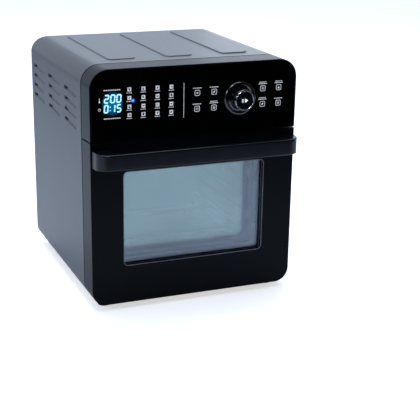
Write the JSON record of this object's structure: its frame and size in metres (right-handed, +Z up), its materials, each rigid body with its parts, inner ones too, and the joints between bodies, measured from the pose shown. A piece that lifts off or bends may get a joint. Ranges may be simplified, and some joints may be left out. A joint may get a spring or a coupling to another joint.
{
  "type": "toaster oven",
  "caption": "Countertop air-fryer toaster oven with a drop-down glazed door, full-width handle, touch panel with a dial, and vented sheet-metal case.",
  "frame": {"origin": "on the surface the feet stand on, at the centre of the overall width and depth", "axes": "+Z up, +X to the right and +Y to the back as one faces the door"},
  "size_m": [0.33, 0.388, 0.3751],
  "materials": {
    "case_paint": "satin grey-black paint with a fine texture",
    "front_moulding": "satin moulded plastic",
    "handle_moulding": "satin moulded plastic, softly rounded",
    "touch_glass": "gloss black glass",
    "window_glass": "clear, slightly tinted",
    "knob_gloss": "gloss black",
    "chrome_trim": "polished",
    "bright_steel": "rolled",
    "zinc_steel": "zinc plated",
    "screw_steel": "dark plated",
    "element_sheath": "oxidised sheath",
    "soft_rubber": "matt",
    "fan_alloy": "satin",
    "motor_steel": "pressed",
    "inner_plastic": "plain moulding",
    "circuit_board": "solder mask",
    "display_light": "lit display",
    "light_guide": "white moulding"
  },
  "bodies": {
    "root": {"back_panel": "case_paint", "back_screws": "screw_steel", "base_pan": "case_paint", "board_standoffs": "zinc_steel", "bottom_element": "element_sheath", "cavity_liner": "bright_steel", "control_bezel": "front_moulding", "control_board": "circuit_board", "control_box_cover": "zinc_steel", "control_glass": "touch_glass", "cord_bushing": "soft_rubber", "crumb_tray": "bright_steel", "display_module": "display_light", "door_seal": "soft_rubber", "door_switch": "inner_plastic", "element_clips": "zinc_steel", "encoder_housing": "inner_plastic", "fan_guard": "chrome_trim", "fan_housing": "zinc_steel", "fan_motor": "motor_steel", "feet": "soft_rubber", "foot_screws": "screw_steel", "front_frame": "zinc_steel", "heat_shield": "zinc_steel", "hinge_arms": "zinc_steel", "icon_light_guide": "light_guide", "lamp_bulb": "window_glass", "lamp_holder": "zinc_steel", "lamp_lens": "window_glass", "outer_wrapper": "case_paint", "power_board": "circuit_board", "rack_rail_left": "chrome_trim", "rack_rail_right": "chrome_trim", "rear_spacers": "soft_rubber", "rotisserie_bushing": "bright_steel", "rotisserie_motor": "inner_plastic", "sill": "front_moulding", "spit_support": "bright_steel", "temperature_probe": "bright_steel", "thermal_cutout": "zinc_steel", "top_element": "element_sheath"},
    "door": {"door_shell": "front_moulding", "door_outer_glass": "window_glass", "door_glass_clips": "zinc_steel", "door_inner_panel": "bright_steel", "door_inner_glass": "window_glass", "door_inner_clips": "zinc_steel", "door_handle": "handle_moulding", "handle_screws": "screw_steel", "door_hinge_blocks": "inner_plastic", "door_hinge_pins": "zinc_steel"},
    "encoder_slider": {"encoder_core": "inner_plastic"},
    "knob": {"knob": "knob_gloss", "knob_ring": "chrome_trim", "knob_shaft": "zinc_steel"},
    "fan": {"fan_shaft": "zinc_steel", "impeller": "fan_alloy", "cooling_fan": "fan_alloy"},
    "spit_drive": {"rotisserie_socket": "bright_steel"},
    "switch_pin": {"switch_plunger": "inner_plastic"}
  },
  "joints": [
    {"name": "door_hinge", "type": "hinge", "parent": "root", "child": "door", "pos_m": [0, -0.154, 0.044], "axis": [1, 0, 0], "range_deg": [0, 90]},
    {"name": "knob_press", "type": "slide", "parent": "root", "child": "encoder_slider", "axis": [0, 1, 0], "range_m": [0, 0.001], "stiffness_N_per_m": 1500, "springref_m": -0.0005},
    {"name": "knob_turn", "type": "hinge", "parent": "encoder_slider", "child": "knob", "pos_m": [0.0691, -0.162, 0.3185], "axis": [0, 1, 0], "continuous": true},
    {"name": "fan_spin", "type": "hinge", "parent": "root", "child": "fan", "pos_m": [0, 0.01, 0.3], "axis": [0, 0, 1], "continuous": true},
    {"name": "spit_spin", "type": "hinge", "parent": "root", "child": "spit_drive", "pos_m": [0.125, 0.01, 0.15], "axis": [1, 0, 0], "continuous": true},
    {"name": "switch_slide", "type": "slide", "parent": "root", "child": "switch_pin", "axis": [0, -1, 0], "range_m": [0, 0.0031]}
  ],
  "couplings": [
    {"joint": "switch_slide", "follows": "door_hinge", "m_per_rad": 0.0019099}
  ]
}
